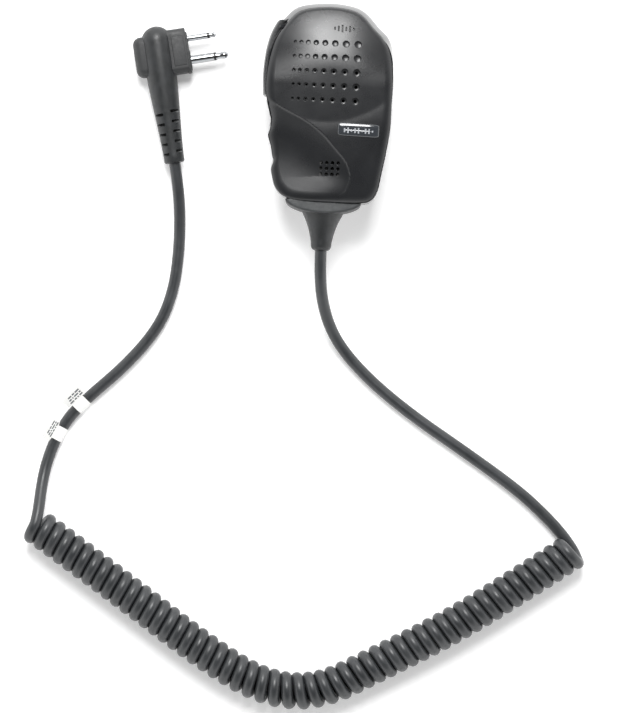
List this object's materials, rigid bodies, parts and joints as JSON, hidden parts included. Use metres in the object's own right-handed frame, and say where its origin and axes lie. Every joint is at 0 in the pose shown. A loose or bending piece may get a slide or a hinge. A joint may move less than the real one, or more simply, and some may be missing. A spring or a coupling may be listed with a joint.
{
  "type": "hand microphone",
  "caption": "Palm-sized speaker microphone with a side talk lever, dimpled speaker grille, swivelling belt clip, curly cord and right-angle plug with paired contacts.",
  "frame": {"origin": "on the surface the clip lies on, under the middle of the microphone", "axes": "+Z out of the speaker face, +Y from the cord end to the top, +X to the right seen from the front"},
  "size_m": [0.2294, 0.2884, 0.0365],
  "materials": {
    "casing_plastic": "fine satin moulding",
    "lever_plastic": "satin",
    "component_plastic": "matte",
    "plunger_plastic": "satin",
    "soft_rubber": "matte",
    "boot_rubber": "satin",
    "cord_jacket": "satin",
    "badge_resin": "polished",
    "screw_steel": "machined",
    "pressed_steel": "rolled",
    "magnet_iron": "plated",
    "coil_copper": "enamelled winding",
    "cone_film": "matte",
    "mesh_cloth": "woven",
    "capsule_aluminium": "satin",
    "board_laminate": "solder mask",
    "wire_insulation": "satin",
    "clip_plastic": "satin",
    "insert_brass": "knurled",
    "label_film": "film",
    "contact_chrome": "polished plating",
    "insulator_plastic": "satin"
  },
  "bodies": {
    "handset": {"front_housing": "casing_plastic", "rear_housing": "casing_plastic", "housing_seal": "soft_rubber", "badge_plate": "badge_resin", "housing_screws": "screw_steel", "talk_lever_pin": "screw_steel", "switch_body": "component_plastic", "speaker_frame": "pressed_steel", "speaker_magnet": "magnet_iron", "voice_coil": "coil_copper", "speaker_cone": "cone_film", "speaker_mesh": "mesh_cloth", "mic_grommet": "soft_rubber", "mic_capsule": "capsule_aluminium", "circuit_board": "board_laminate", "board_components": "component_plastic", "board_screws": "screw_steel", "inner_wires": "wire_insulation", "swivel_insert": "insert_brass", "mic_boot": "boot_rubber", "cord_mic_lead": "cord_jacket", "cord_coil": "cord_jacket", "cord_plug_lead": "cord_jacket", "cable_label_upper": "label_film", "cable_label_lower": "label_film", "plug_boot": "boot_rubber", "plug_block": "component_plastic", "small_contact_sleeve": "contact_chrome", "small_contact_insulator": "insulator_plastic", "small_contact_tip": "contact_chrome", "large_contact_sleeve": "contact_chrome", "large_contact_insulator": "insulator_plastic", "large_contact_tip": "contact_chrome"},
    "talk_lever": {"talk_lever": "lever_plastic"},
    "switch_plunger": {"switch_plunger": "plunger_plastic"},
    "clip_base": {"clip_base": "clip_plastic", "clip_pin": "pressed_steel", "clip_spring": "pressed_steel", "swivel_screw": "screw_steel"},
    "clip_lever": {"clip_lever": "clip_plastic"}
  },
  "joints": [
    {"name": "talk_lever_press", "type": "hinge", "parent": "handset", "child": "talk_lever", "pos_m": [-0.0194, 0.0294, 0.022], "axis": [0, 0, 1], "range_deg": [0, 3.4], "stiffness_Nm_per_rad": 0.6},
    {"name": "switch_travel", "type": "slide", "parent": "handset", "child": "switch_plunger", "axis": [1, 0, 0], "range_m": [0, 0.00095]},
    {"name": "clip_swivel", "type": "hinge", "parent": "handset", "child": "clip_base", "pos_m": [0, 0.006, 0.008], "axis": [0, 0, 1], "continuous": true},
    {"name": "clip_open", "type": "hinge", "parent": "clip_base", "child": "clip_lever", "pos_m": [0, 0.006, 0.0044], "axis": [1, 0, 0], "range_deg": [0, 14], "stiffness_Nm_per_rad": 0.5}
  ],
  "couplings": [
    {"joint": "switch_travel", "follows": "talk_lever_press", "m_per_rad": 0.0154}
  ]
}
